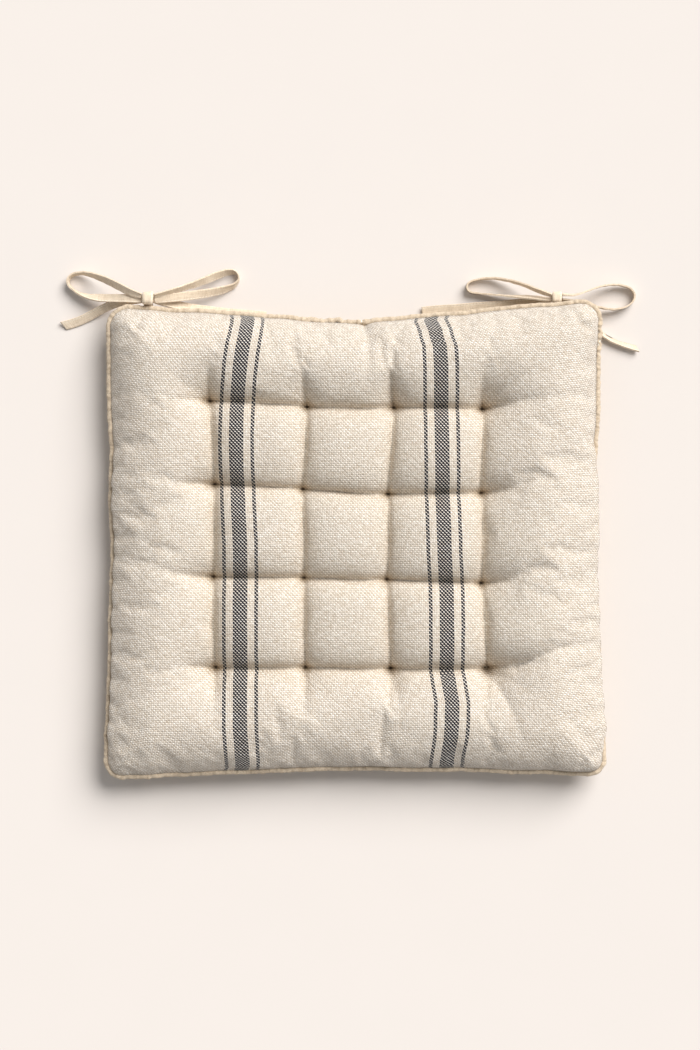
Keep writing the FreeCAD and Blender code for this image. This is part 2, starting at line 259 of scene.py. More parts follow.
for along, across in ((1, 0), (0, 1)):
    slant = maths(weave, "MULTIPLY_ADD", maths(weave, "FRACT", counts[across]),
                  YARN_SLANT, -YARN_SLANT / 2)
    phase = maths(weave, "ADD", maths(weave, "ADD", counts[along], whole[across]), slant)
    over_under.append(maths(weave, "SINE", maths(weave, "MULTIPLY", phase, math.pi)))
warp_height, weft_height = [
    maths(weave, "MULTIPLY", round_back, maths(weave, "MULTIPLY_ADD", wave, swing, YARN_MIDDLE))
    for round_back, wave, swing in zip(round_backs, over_under, (YARN_SWING, -YARN_SWING))]
lead = maths(weave, "SUBTRACT", warp_height, weft_height)
warp_share = add(weave, "ShaderNodeMapRange", {0: lead, 1: -0.12, 2: 0.12}).outputs[0]
tones = []
for number, run in ((0, 1), (1, 0)):
    spot = add(weave, "ShaderNodeCombineXYZ",
               {0: maths(weave, "MULTIPLY", whole[number], 3.7),
                1: maths(weave, "MULTIPLY", cloth_parts.outputs[run], 140.0), 2: 5.0 * number})
    spun = add(weave, "ShaderNodeTexNoise", {"Vector": spot.outputs[0], "Scale": 1.0, "Detail": 3.0})
    tones.append(add(weave, "ShaderNodeMapRange", {0: spun.outputs["Fac"], 1: 0.34, 2: 0.66}).outputs[0])
tone = add(weave, "ShaderNodeMix", {0: warp_share, 2: tones[1], 3: tones[0]},
           data_type="FLOAT").outputs[0]
for socket, value in (("Height", maths(weave, "MAXIMUM", warp_height, weft_height)), ("Warp", warp_share),
                      ("Lead", lead), ("Yarn", whole[0]), ("Tone", tone)):
    weave.links.new(value, result.inputs[socket])

# A line of machine stitches along Y at a given X: Mask shows the thread and Height its relief.
stitch_line, given, result = new_group(
    "stitch_line",
    [("Cloth", "Vector", None), ("Line", "Float", 0.003), ("Stitch", "Float", 0.0028),
     ("Thread", "Float", 0.0003)],
    [("Mask", "Float"), ("Height", "Float")])
cloth_parts = add(stitch_line, "ShaderNodeSeparateXYZ", {0: given.outputs["Cloth"]})
aside = maths(stitch_line, "ABSOLUTE",
              maths(stitch_line, "SUBTRACT", cloth_parts.outputs[0], given.outputs["Line"]))
narrow = maths(stitch_line, "DIVIDE", aside, given.outputs["Thread"])
beat = maths(stitch_line, "FRACT",
             maths(stitch_line, "DIVIDE", cloth_parts.outputs[1], given.outputs["Stitch"]))
from_middle = maths(stitch_line, "ABSOLUTE", maths(stitch_line, "SUBTRACT", beat, 0.5))
along = maths(stitch_line, "MULTIPLY", from_middle, 2.4)
away = maths(stitch_line, "ADD", maths(stitch_line, "POWER", narrow, 2.0),
             maths(stitch_line, "POWER", along, 6.0))
thread = add(stitch_line, "ShaderNodeMapRange", {0: away, 1: 1.0, 2: 0.5}).outputs[0]
dip = add(stitch_line, "ShaderNodeMapRange", {0: narrow, 1: 0.0, 2: 3.0, 3: -0.6, 4: 0.0}).outputs[0]
stitch_line.links.new(thread, result.inputs["Mask"])
stitch_line.links.new(maths(stitch_line, "MULTIPLY_ADD", thread, 0.9, dip), result.inputs["Height"])

TAPE_LIGHT = (0.83, 0.71, 0.565, 1.0)
TAPE_DARK = (0.53, 0.41, 0.29, 1.0)
STITCH_LIGHT = (0.90, 0.82, 0.70, 1.0)
tape_cloth, tree, shader = new_material("tape_cloth")
cloth = add(tree, "ShaderNodeAttribute", attribute_name="cloth").outputs["Vector"]
yarns = place(tree, weave, {"Cloth": cloth, "Warp Pitch": TAPE_YARN, "Weft Pitch": TAPE_YARN})
stitches = place(tree, stitch_line, {"Cloth": cloth, "Line": TAPE_WIDTH * 0.36})
colour = blend_colours(tree, yarns.outputs["Tone"], TAPE_DARK, TAPE_LIGHT)
creases = add(tree, "ShaderNodeTexNoise", {"Vector": cloth, "Scale": 260.0, "Detail": 4.0}).outputs["Fac"]
# The crease noise that raises the tape also lightens it: painted light on the raised parts, painted shade
# in the hollows.
colour = blend_colours(tree, maths(tree, "MULTIPLY", creases, 0.5), colour, TAPE_LIGHT)
colour = blend_colours(tree, stitches.outputs["Mask"], colour, STITCH_LIGHT)
relief = maths(tree, "ADD", maths(tree, "MULTIPLY", yarns.outputs["Height"], 0.12),
               maths(tree, "ADD", maths(tree, "MULTIPLY", stitches.outputs["Height"], 0.3),
                     maths(tree, "MULTIPLY", creases, 0.9)))
finish_surface(tree, shader, colour, relief, 0.4 * mm, 0.8, roughness=0.85, specular=0.2, sheen=0.15)


def spline_points(name, route):
    """Points along the smooth line of a route, read from its NURBS spline."""
    curve = bpy.data.curves.new(name, "CURVE")
    curve.dimensions = "3D"
    spline = curve.splines.new("NURBS")
    spline.points.add(len(route) - 1)
    for point, spot in zip(spline.points, route):
        point.co = (*(c * mm for c in spot), 1.0)
    spline.order_u = 3
    spline.use_endpoint_u = True
    spline.resolution_u = 12
    line = bpy.data.objects.new(name, curve)
    mesh = bpy.data.meshes.new_from_object(line)
    points = np.array([v.co for v in mesh.vertices])
    bpy.data.meshes.remove(mesh)
    bpy.data.objects.remove(line)
    bpy.data.curves.remove(curve)
    return points


def evenly(points, step):
    """The line again, with points about step apart, and how far along it each is."""
    along = np.concatenate([[0], np.cumsum(np.linalg.norm(np.diff(points, axis=0), axis=1))])
    at = np.linspace(0, along[-1], int(round(along[-1] / step)) + 1)
    return np.stack([np.interp(at, along, points[:, k]) for k in range(3)], axis=1), at


def unit(vectors):
    return vectors / np.linalg.norm(vectors, axis=1, keepdims=True)


def ring_faces(rows, ring, closed):
    """Faces of a tube of rows rings, closed end to end or not."""
    return [(r * ring + c, r * ring + (c + 1) % ring, (r + 1) % rows * ring + (c + 1) % ring,
             (r + 1) % rows * ring + c) for r in range(rows if closed else rows - 1) for c in range(ring)]


# The tape's cross-section, as shares of its half width and half thickness: a rounded fold on one
# side, and on the other the slit between the two turned-in edges.
TAPE_SECTION = [
    (-1.0, 0.0), (-0.97, 0.7), (-0.88, 1.0), (-0.6, 0.86), (-0.2, 0.8), (0.2, 0.8), (0.55, 0.84),
    (0.72, 0.7), (0.88, 0.95), (0.97, 0.9), (1.0, 0.5), (0.9, 0.06), (0.9, -0.06), (1.0, -0.5),
    (0.97, -0.9), (0.88, -0.95), (0.72, -0.7), (0.55, -0.84), (0.2, -0.8), (-0.2, -0.8), (-0.6, -0.86),
    (-0.88, -1.0), (-0.97, -0.7)]
GATHERED = 9.0 * mm          # how far from a knot the tape spreads out again
KNOT_CURL = 2.2 * mm         # how much its edges curl where a knot squeezes it
RIPPLE = 0.045 * mm
CUT_FROM = 0.8               # a slanting cut skews the tape beyond this share of its length
TABLE_CLEARANCE = 0.15 * mm
LINE_STEP = 0.9 * mm


def ribbon(name, line, at, turn, width, thickness, material, slant=0.0, gather=(1.0, 1.0), seed=0):
    """A flat tape along a line. turn is its tilt in radians at each point of the line."""
    ahead = unit(np.gradient(line, axis=0))
    level = unit(np.cross(ahead, (0.0, 0.0, 1.0)))
    steep = np.cross(level, ahead)
    across = level * np.cos(turn)[:, None] + steep * np.sin(turn)[:, None]
    face = np.cross(across, ahead)
    total = at[-1]
    chance = np.random.default_rng(seed)
    waves = [(chance.uniform(200, 900), chance.uniform(0, 6.28), chance.uniform(-400, 400))
             for _ in range(6)]
    near = (np.exp(-at / GATHERED) * (1 - gather[0])
            + np.exp(-(total - at) / GATHERED) * (1 - gather[1]))
    cut_share = np.where(at > total * CUT_FROM, (at - total * CUT_FROM) / (total * (1 - CUT_FROM)), 0.0)
    points, cloth = [], []
    for s, h in TAPE_SECTION:
        side = s * width / 2 * (1 - near)
        ripple = sum(np.sin(at * f + p + side * q) for f, p, q in waves) * RIPPLE
        lift = h * thickness / 2 + ripple + near * KNOT_CURL * (s * s - 0.4)
        shift = cut_share * side * slant
        points.append(line + across * side[:, None] + face * lift[:, None] + ahead * shift[:, None])
        cloth.append(np.stack([np.full(len(at), s * width / 2), at], axis=1))
    points, cloth = np.stack(points, axis=1), np.stack(cloth, axis=1)
    points[..., 2] = np.maximum(points[..., 2], TABLE_CLEARANCE)
    rows, ring = points.shape[:2]
    faces = ring_faces(rows, ring, False)
    faces += [tuple(range(ring))[::-1], tuple((rows - 1) * ring + c for c in range(ring))]
    return mesh_piece(name, points.reshape(-1, 3), faces, material, cloth.reshape(-1, 2))


bow_pieces = {}
for number, (node, route) in enumerate(TIE_ROUTES.items()):
    side = node.split("_")[0]
    is_loop = "loop" in node
    line, at = evenly(spline_points(node + "_line", route), LINE_STEP)
    shares, degrees = zip(*TIE_TURNS[node])
    turn = np.radians(np.interp(at / at[-1], shares, degrees))
    tape = ribbon(node + "_tape", line, at, turn, TAPE_WIDTH, TAPE_THICKNESS, tape_cloth,
                  slant=CUT_SLANT.get(node, 0.0), gather=(0.55, 0.55 if is_loop else 1.0), seed=number)
    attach(tape, f"{side}_bow" if is_loop else "pad")
    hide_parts(node)
    bow_pieces[node] = (tape, line)

# ---------------------------------------------------------------------------------------------
# Knots
# The middle of each bow: one turn of the same tape, wrapped over the crossing strands and pulled
# tight, so that its edges curl in and its face creases.
# ---------------------------------------------------------------------------------------------

WRAP_TURN, WRAP_STEPS = 215, 120        # degrees each way from the top, and rings of points
WRAP_DRIFT = 0.09                       # how far the wrap wanders along the knot, as a share of it
WRAP_FULLNESS = 1.1
ROOT_THICKNESS = 1.0 * mm
# The wrap's cross-section, as shares of the knot's length and radius.
WRAP_SECTION = [(-0.5, 0.5), (-0.47, 0.8), (-0.36, 0.98), (-0.15, 1.0), (0.0, 0.955), (0.15, 1.0),
                (0.36, 0.97), (0.47, 0.8), (0.5, 0.5), (0.4, 0.42), (0.0, 0.5), (-0.4, 0.42)]

for side in ("left", "right"):
    low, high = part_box(f"{side}_knot")
    middle = np.array((low + high) / 2)
    radius = (high.z - low.z) / 2 * WRAP_FULLNESS
    length = high.x - low.x
    turns = np.radians(np.linspace(-WRAP_TURN, WRAP_TURN, WRAP_STEPS))
    spiral = np.linspace(-WRAP_DRIFT, WRAP_DRIFT, len(turns)) * length
    points, cloth = [], []
    for i, (angle, drift_x) in enumerate(zip(turns, spiral)):
        squeeze = 1.0 - 0.05 * math.sin(3 * angle + 1.0) - 0.06 * i / len(turns)
        for s, h in WRAP_SECTION:
            wrinkle = 1 + 0.035 * math.sin(9 * s * math.pi + 2.2 * angle)
            reach = radius * h * squeeze * (wrinkle if h > 0.6 else 1.0)
            points.append(middle + np.array((s * length * 0.92 + drift_x, math.sin(angle) * reach,
                                             math.cos(angle) * reach)))
            cloth.append((s * TAPE_WIDTH, angle * radius))
    ring = len(WRAP_SECTION)
    faces = [(r * ring + c, (r + 1) * ring + c, (r + 1) * ring + (c + 1) % ring,
              r * ring + (c + 1) % ring) for r in range(len(turns) - 1) for c in range(ring)]
    faces += [tuple(range(ring)), tuple((len(turns) - 1) * ring + c for c in range(ring))[::-1]]
    knot = mesh_piece(f"{side}_knot_wrap", points, faces, tape_cloth, np.array(cloth))
    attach(knot, f"{side}_bow")
    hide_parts(f"{side}_knot")
    # The tape's folded middle is caught in the seam, and comes out under the piping to the knot.
    low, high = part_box(f"{side}_tie_root")
    x, drop = (low.x + high.x) / 2, high.y - 2.5 * mm
    rise = [(x, high.y - 0.4 * mm, high.z - 0.6 * mm)] if high.y - low.y > 15 * mm else []
    route = [(x, low.y, low.z + 1.9 * mm), (x, low.y + 7 * mm, low.z + 1.8 * mm),
             (x, low.y + 10.5 * mm, low.z + 0.55 * mm), (x, drop, low.z + 0.6 * mm)] + rise
    line, at = evenly(np.array(route), LINE_STEP)
    root = ribbon(f"{side}_tie_root_tape", line, at, at * 0, TAPE_WIDTH, ROOT_THICKNESS, tape_cloth,
                  seed=20)
    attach(root, "pad")
    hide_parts(f"{side}_tie_root")
    for node, (tape, line) in bow_pieces.items():
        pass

# ---------------------------------------------------------------------------------------------
# Piping
# A bias strip of plain tan cotton folded over a cord and sewn in the seam all round. It puckers
# where it was eased round the corners, and its two ends overlap at the middle of the back.
# ---------------------------------------------------------------------------------------------

# The seam line's corners, clockwise from the back left: X, Y and turning radius, in millimetres.
SEAM_CORNERS = [
    (-210.2, 199.2, 20.0), (-2.7, 183.7, 300.0), (207.8, 203.2, 16.0), (201.8, 4.0, 2500.0),
    (211.3, -199.3, 13.0), (3.3, -193.3, 2500.0), (-211.2, -202.3, 13.0), (-206.2, -1.0, 2500.0)]
piping_low, piping_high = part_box("piping_cord")
SEAM_HEIGHT = (piping_low.z + piping_high.z) / 2
PIPING_RADIUS = 2.5 * mm
FLANGE_WIDTH = 11.0 * mm
FLANGE_THICKNESS = 1.6 * mm
JOIN_FROM, JOIN_TO = -40.0 * mm, 6.0 * mm      # the hand-closed stretch of the back edge
EASED_AT, EASED_REACH = (0.205, 0.172), 0.016  # where the strip is gathered most, by the right corner
OVERLAP_AT = 5.0 * mm
SIDE_POINTS = 420
PIPING_SIDES = 22


def along_side(side, count):
    """count + 1 points evenly along one side of the seam."""
    length = np.concatenate([[0], np.cumsum(np.linalg.norm(np.diff(side, axis=0), axis=1))])
    at = np.linspace(0, length[-1], count + 1)
    return np.stack([np.interp(at, length, side[:, k]) for k in range(2)], axis=1)


def unevenness(places, size, seed, octaves=2):
    """Smooth seeded unevenness between about -1 and 1, with waves of about that size."""
    chance = np.random.default_rng(seed)
    total = np.zeros(len(places))
    for octave in range(octaves):
        for _ in range(7):
            way = chance.normal(size=places.shape[1])
            way *= 2 * math.pi / (size * chance.uniform(0.8, 1.6)) * 2 ** octave / np.linalg.norm(way)
            total += np.sin(places @ way + chance.uniform(0, 2 * math.pi)) / 2 ** octave
    return total / 3.6


def seam_sides():
    """The seam as four sides: back, right, front and left, each from one corner's middle to the next."""
    spots = np.array([(x, y) for x, y, _ in SEAM_CORNERS]) * mm
    turns = []
    for i, (_, _, radius) in enumerate(SEAM_CORNERS):
        here, radius = spots[i], radius * mm
        back, on = here - spots[i - 1], spots[(i + 1) % len(spots)] - here
        back, on = back / np.linalg.norm(back), on / np.linalg.norm(on)
        half_turn = math.acos(np.clip(back @ on, -1, 1)) / 2
        inward = (on - back) / np.linalg.norm(on - back)
        centre = here + inward * radius / math.cos(half_turn)
        start = here - back * radius * math.tan(half_turn) - centre
        end = here + on * radius * math.tan(half_turn) - centre
        share = np.linspace(0, 1, 25)[:, None]
        turns.append(centre + unit((1 - share) * start + share * end) * radius)
    sides = []
    for i in range(0, len(turns), 2):
        following = turns[(i + 2) % len(turns)]
        side = np.concatenate([turns[i][12:], turns[i + 1], following[:13]])
        side = along_side(side, 300)
        ahead = unit(np.gradient(side, axis=0))
        sway = unevenness(side, 75 * mm, 11, 1) * 0.8 * mm + unevenness(side, 24 * mm, 12, 1) * 0.35 * mm
        sides.append(side + np.column_stack([-ahead[:, 1], ahead[:, 0]]) * sway[:, None])
    return sides


def closed_directions(loop):
    """The unit direction of a closed line at each of its points."""
    return unit(np.roll(loop, -1, axis=0) - np.roll(loop, 1, axis=0))


back_side, right_side, front_side, left_side = seam_sides()
seam_loop = np.concatenate([along_side(side, SIDE_POINTS)[:-1]
                            for side in (back_side, right_side, front_side, left_side)])
ahead = closed_directions(seam_loop)
outward = np.stack([-ahead[:, 1], ahead[:, 0]], axis=1)
seam_x, seam_y = seam_loop[:, 0], seam_loop[:, 1]
join = ((seam_y > 0) & (seam_x > JOIN_FROM) & (seam_x < JOIN_TO)).astype(float)
eased = np.exp(-((seam_x - EASED_AT[0]) ** 2 + (seam_y - EASED_AT[1]) ** 2) / EASED_REACH ** 2)
sway = unevenness(seam_loop, 14 * mm, 16) * (0.15 + 0.5 * join) * mm
piping_line = seam_loop + outward * sway[:, None]
piping_rise = (unevenness(seam_loop, 45 * mm, 13) * 0.4 * mm
               + unevenness(seam_loop, 12 * mm, 14) * 0.35 * mm * join)
gap = 1 - 0.35 * np.exp(-((seam_x - OVERLAP_AT) / (2 * mm)) ** 2) * (seam_y > 0)
points, cloth = [], []
run = np.concatenate([[0], np.cumsum(np.linalg.norm(np.diff(piping_line, axis=0), axis=1))])
for k in range(PIPING_SIDES):
    angle = math.pi - 2 * math.pi * k / (PIPING_SIDES - 1)
    pucker = (unevenness(np.column_stack([run, np.full(len(run), k * 0.35 * mm)]), 5.0 * mm, 15)
              * (0.16 + 0.22 * join + 0.34 * eased))
    reach = PIPING_RADIUS * (0.96 + pucker * 0.75) * gap
    points.append(np.column_stack([piping_line + outward * (math.cos(angle) * reach)[:, None],
                                   SEAM_HEIGHT + piping_rise + math.sin(angle) * reach]))
    cloth.append(np.column_stack([np.full(len(run), -angle * PIPING_RADIUS), run]))
inner = piping_line - outward * (PIPING_RADIUS * 0.5 + FLANGE_WIDTH)
for sign in (-1, 1):
    height = SEAM_HEIGHT + sign * FLANGE_THICKNESS * 0.45
    points.append(np.column_stack([inner, np.full(len(run), height)]))
    cloth.append(np.column_stack([np.full(len(run), -sign * 14 * mm), run]))
points, cloth = np.stack(points, axis=1), np.stack(cloth, axis=1)

PIPING_LIGHT = (0.82, 0.69, 0.535, 1.0)
PIPING_DARK = (0.55, 0.43, 0.305, 1.0)
PIPING_RUBBED = (0.74, 0.615, 0.47, 1.0)
PIPING_FOLD_SHADE = (0.34, 0.245, 0.155, 1.0)
piping_cloth, tree, shader = new_material("piping_cloth")
flat = add(tree, "ShaderNodeAttribute", attribute_name="cloth").outputs["Vector"]
bias = add(tree, "ShaderNodeVectorRotate", {"Vector": flat, "Angle": math.pi / 4}).outputs[0]
yarns = place(tree, weave,
              {"Cloth": bias, "Warp Pitch": 0.62 * mm, "Weft Pitch": 0.66 * mm, "Wander": 0.4})
colour = blend_colours(tree, yarns.outputs["Tone"], PIPING_DARK, PIPING_LIGHT)
rub = add(tree, "ShaderNodeTexNoise", {"Vector": flat, "Scale": 120.0, "Detail": 3.0}).outputs["Fac"]
colour = blend_colours(tree, maths(tree, "MULTIPLY", rub, 0.45), colour, PIPING_RUBBED)
stretched = add(tree, "ShaderNodeVectorMath", {0: flat, 1: (90.0, 330.0, 1.0)}, operation="MULTIPLY")
folds = add(tree, "ShaderNodeTexNoise",
            {"Vector": stretched.outputs[0], "Scale": 1.0, "Detail": 3.0}).outputs["Fac"]
# Painted shade in the hollows of the piping's folds.
fold_shade_share = add(tree, "ShaderNodeMapRange", {0: folds, 1: 0.5, 2: 0.3, 4: 0.55}).outputs[0]
colour = blend_colours(tree, fold_shade_share, colour, PIPING_FOLD_SHADE)
relief = maths(tree, "ADD", maths(tree, "MULTIPLY", yarns.outputs["Height"], 0.3), folds)
finish_surface(tree, shader, colour, relief, 1.1 * mm, 0.9, roughness=0.88, specular=0.15, sheen=0.15)
piping = mesh_piece("piping_strip", points.reshape(-1, 3), ring_faces(len(run), points.shape[1], True),
                    piping_cloth, cloth.reshape(-1, 2))
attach(piping, "pad")
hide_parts("piping_cover")

# ---------------------------------------------------------------------------------------------
# Piping cord
# Three strands of soft cotton twisted together, which fills the fold of the piping strip.
# ---------------------------------------------------------------------------------------------

CORD_RADIUS = (piping_high.z - piping_low.z) / 2
CORD_TWIST = 7.0 * mm
CORD_SIDES = 15
points = []
for k in range(CORD_SIDES):
    angle = 2 * math.pi * k / CORD_SIDES
    strand = np.abs(np.cos(1.5 * (angle + 2 * math.pi * run / CORD_TWIST)))
    reach = CORD_RADIUS * (0.72 + 0.28 * strand ** 0.6)
    points.append(np.column_stack([piping_line + outward * (math.cos(angle) * reach)[:, None],
                                   SEAM_HEIGHT + piping_rise + math.sin(angle) * reach]))
cotton_cord, tree, shader = new_material("cotton_cord")
spot = add(tree, "ShaderNodeTexCoord").outputs["Object"]
fuzz = add(tree, "ShaderNodeTexNoise", {"Vector": spot, "Scale": 1500.0, "Detail": 4.0}).outputs["Fac"]
colour = blend_colours(tree, fuzz, (0.78, 0.74, 0.65, 1.0), (0.93, 0.90, 0.83, 1.0))
finish_surface(tree, shader, colour, fuzz, 0.3 * mm, 0.6, roughness=0.95)
cord = mesh_piece("piping_twisted_cord", np.stack(points, axis=1).reshape(-1, 3),
                  ring_faces(len(run), CORD_SIDES, True), cotton_cord)
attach(cord, "pad")
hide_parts("piping_cord")

# ---------------------------------------------------------------------------------------------
# Cover
# Two square panels sewn to the piping all round and pulled together by sixteen stitches: the top
# of coarse plain-woven cotton, cream with two groups of dark warp stripes, the underside plain.
# ---------------------------------------------------------------------------------------------

TUFT_ROWS, TUFT_COLUMNS = 4, 4
tufts = np.zeros((TUFT_ROWS, TUFT_COLUMNS, 2))
for row in range(TUFT_ROWS):
    for column in range(TUFT_COLUMNS):
        low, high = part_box(f"tuft_thread_r{row + 1}c{column + 1}")
        tufts[row, column] = ((low.x + high.x) / 2, (low.y + high.y) / 2)

SQUARES_ACROSS, SQUARES_DOWN = 104, 100
COLUMN_LINES = [22, 40, 58, 78]
ROW_LINES = [20, 38, 57, 75]
EDGE_INSET = 1.2 * mm
CREASE_REACH = 36.0 * mm     # how far a crease runs on past the outer tufts
PILLOW_HALF = 38.0 * mm
PIT_REACH = 9.0 * mm
EDGE_ROLL = 44.0 * mm        # how far in from the seam the panels go on curving
LEFT_SOFTER = 0.3            # the left side slopes more gently down to its seam

seam_tree = KDTree(len(seam_loop))
for index, spot in enumerate(seam_loop):
    seam_tree.insert((*spot, 0.0), index)
seam_tree.balance()


def smooth(value):
    value = np.clip(value, 0, 1)
    return value * value * (3 - 2 * value)


def inset_side(side, count):
    """The panel's edge along one side, just inside the seam line."""
    points = along_side(side, 400)
    ahead = unit(np.gradient(points, axis=0))
    return along_side(points + np.column_stack([ahead[:, 1], -ahead[:, 0]]) * EDGE_INSET, count)


def panel_grid():
    """The panel's squares in plan: its edges on the seam, its row and column lines through the tufts."""
    across = np.linspace(0, 1, SQUARES_ACROSS + 1)[None, :, None]
    down = np.linspace(0, 1, SQUARES_DOWN + 1)[:, None, None]
    back = inset_side(back_side, SQUARES_ACROSS)[None]
    front = inset_side(front_side, SQUARES_ACROSS)[::-1][None]
    right = inset_side(right_side, SQUARES_DOWN)[:, None]
    left = inset_side(left_side, SQUARES_DOWN)[::-1][:, None]
    ruled = (1 - down) * back + down * front + (1 - across) * left + across * right
    corners = ((1 - across) * (1 - down) * back[:, :1] + across * (1 - down) * back[:, -1:]
               + (1 - across) * down * front[:, :1] + across * down * front[:, -1:])
    spots = ruled - corners
    pull = np.zeros((TUFT_ROWS + 2, TUFT_COLUMNS + 2, 2))
    pull[1:-1, 1:-1] = tufts - spots[np.ix_(ROW_LINES, COLUMN_LINES)]
    rows, columns = [0] + ROW_LINES + [SQUARES_DOWN], [0] + COLUMN_LINES + [SQUARES_ACROSS]
    for k in range(2):
        wide = np.array([np.interp(range(SQUARES_ACROSS + 1), columns, line) for line in pull[:, :, k]])
        spots[:, :, k] += np.array([np.interp(range(SQUARES_DOWN + 1), rows, line)
                                    for line in wide.T]).T
    return spots


def crease_shape(distance):
    """0 in the bottom of a crease and 1 on the crown of the puff beside it."""
    return (1 - (1 - np.clip(distance / PILLOW_HALF, 0, 1)) ** 2.6) ** 0.66


def panel_shape(tuft_z, row_z, column_z, crown_z, edge_z, pit, seed):
    """How high the panel stands at each point of the grid before it is filled."""
    over_columns = 1 - (1 - crease_shape(to_column)) * (1 - smooth(past_rows / CREASE_REACH))
    over_rows = 1 - (1 - crease_shape(to_row)) * (1 - smooth(past_columns / CREASE_REACH))
    crown = crown_z + unevenness(spots, 70 * mm, seed) * 0.8 * mm
    height = (tuft_z * (1 - over_columns) * (1 - over_rows) + row_z * over_columns * (1 - over_rows)
              + column_z * (1 - over_columns) * over_rows + crown * over_columns * over_rows)
    leftness = smooth((-spots[:, 0] - 120 * mm) / (70 * mm))
    roll = (1 - (1 - np.clip(inset / EDGE_ROLL, 0, 1)) ** 2) ** (0.62 + LEFT_SOFTER * leftness)
    return edge_z + (height - edge_z) * roll - pit * np.exp(-(near_tuft / PIT_REACH) ** 1.4)


def tuft_distances(spots):
    """How far each point is from each tuft."""
    return [np.linalg.norm(spots - tuft, axis=1) for tuft in tufts.reshape(-1, 2)]


def creases_of(grid, finer):
    """How far each point of the grid is from the seam, the column creases and the row creases, how
    far out past the outer ones, and how far from the nearest tuft."""
    xs, ys = grid[..., 0], grid[..., 1]
    columns, rows = [finer * c for c in COLUMN_LINES], [finer * r for r in ROW_LINES]
    past_columns = np.maximum(xs[:, [columns[0]]] - xs, xs - xs[:, [columns[-1]]]).clip(0)
    past_rows = np.maximum(ys - ys[[rows[0]], :], ys[[rows[-1]], :] - ys).clip(0)
    spots = grid.reshape(-1, 2)
    return (np.array([seam_tree.find((x, y, 0.0))[2] for x, y in spots]) - EDGE_INSET,
            np.min([np.abs(xs - xs[:, [c]]) for c in columns], axis=0).ravel(),
            np.min([np.abs(ys - ys[[r], :]) for r in rows], axis=0).ravel(),
            past_columns.ravel(), past_rows.ravel(),
            np.min(tuft_distances(spots), axis=0))


grid = panel_grid()
spots = grid.reshape(-1, 2)
inset, to_column, to_row, past_columns, past_rows, near_tuft = creases_of(grid, 1)
top_z = panel_shape(tuft_z=36.0 * mm, row_z=38.5 * mm, column_z=39.5 * mm, crown_z=52.5 * mm,
                    edge_z=SEAM_HEIGHT + 1.9 * mm, pit=7.0 * mm, seed=3)
under_z = panel_shape(tuft_z=7.0 * mm, row_z=4.5 * mm, column_z=4.5 * mm, crown_z=0.6 * mm,
                      edge_z=SEAM_HEIGHT - 1.9 * mm, pit=-3.0 * mm, seed=4)


def shell_faces(rows, columns):
    """Faces of the top panel, of the underside and of the rim between them, on a grid of points."""
    top = [(r * columns + c, (r + 1) * columns + c, (r + 1) * columns + c + 1, r * columns + c + 1)
           for r in range(rows - 1) for c in range(columns - 1)]
    count = rows * columns
    under = [tuple(count + i for i in face[::-1]) for face in top]
    rim = ([(0, c) for c in range(columns)] + [(r, columns - 1) for r in range(1, rows)]
           + [(rows - 1, c) for c in range(columns - 2, -1, -1)]
           + [(r, 0) for r in range(rows - 2, 0, -1)])
    rim = [r * columns + c for r, c in rim]
    band = [(rim[i], rim[(i + 1) % len(rim)], count + rim[(i + 1) % len(rim)], count + rim[i])
            for i in range(len(rim))]
    return top, under, band


# The cover is filled: air presses it out from inside, while the seam and the stitches hold it.
FILLING_PRESSURE = 8.0
SLACK = 0.014              # spare cloth, which puckers
MOST_RISE = 9.0 * mm
FILLING_FRAMES = 24
CREASE_HOLD, HOLD_REACH = 0.5, 2.5 * mm
start = np.concatenate([np.column_stack([spots, top_z]), np.column_stack([spots, under_z])])
in_rows, in_columns = 1 - smooth(past_columns / CREASE_REACH), 1 - smooth(past_rows / CREASE_REACH)
hold = CREASE_HOLD * np.maximum(np.exp(-(to_row / HOLD_REACH) ** 2) * in_rows,
                                np.exp(-(to_column / HOLD_REACH) ** 2) * in_columns)
hold = np.maximum(hold, np.exp(-(near_tuft / HOLD_REACH) ** 2))
hold[near_tuft < 1 * mm] = 1
hold[inset < 0.5 * mm] = 1
hold = np.tile(hold, 2)


def fill_cover(points, faces, hold):
    """The cover's points after the filling has pressed it out."""
    mesh = bpy.data.meshes.new("cover_shell")
    mesh.from_pydata([tuple(p) for p in points], [], faces)
    shell = bpy.data.objects.new("cover_shell", mesh)
    bpy.context.scene.collection.objects.link(shell)
    held = shell.vertex_groups.new(name="held")
    for index, share in enumerate(hold):
        if share > 0.004:
            held.add([index], float(share), "REPLACE")
    stuffing = shell.modifiers.new("stuffing", "CLOTH")
    stuffing.settings.quality = 6
    stuffing.settings.use_pressure = True
    stuffing.settings.uniform_pressure_force = FILLING_PRESSURE
    stuffing.settings.vertex_group_mass = "held"
    stuffing.settings.shrink_min = -SLACK
    stuffing.settings.bending_stiffness = 0.6
    stuffing.settings.effector_weights.gravity = 0
    stuffing.collision_settings.use_collision = False
    scene = bpy.context.scene
    for number in range(1, FILLING_FRAMES + 1):
        scene.frame_set(number)
    filled = shell.evaluated_get(bpy.context.evaluated_depsgraph_get())
    result = np.zeros(len(points) * 3)
    filled.data.vertices.foreach_get("co", result)
    result = result.reshape(-1, 3)
    scene.frame_set(1)
    bpy.data.objects.remove(shell)
    bpy.data.meshes.remove(mesh)
    move = result - points
    length = np.linalg.norm(move, axis=1, keepdims=True)
    return points + move * np.minimum(1, MOST_RISE / np.maximum(length, 1e-9))


def finer(points):
    """The grid of points again, with another one smoothly between each two."""
    for axis in (0, 1):
        points = np.moveaxis(points, axis, 0)
        ends = np.concatenate([[2 * points[0] - points[1]], points, [2 * points[-1] - points[-2]]])
        between = (9 * (ends[1:-2] + ends[2:-1]) - ends[:-3] - ends[3:]) / 16
        whole = np.zeros((2 * len(points) - 1,) + points.shape[1:])
        whole[::2], whole[1::2] = points, between
        points = np.moveaxis(whole, 0, axis)
    return points


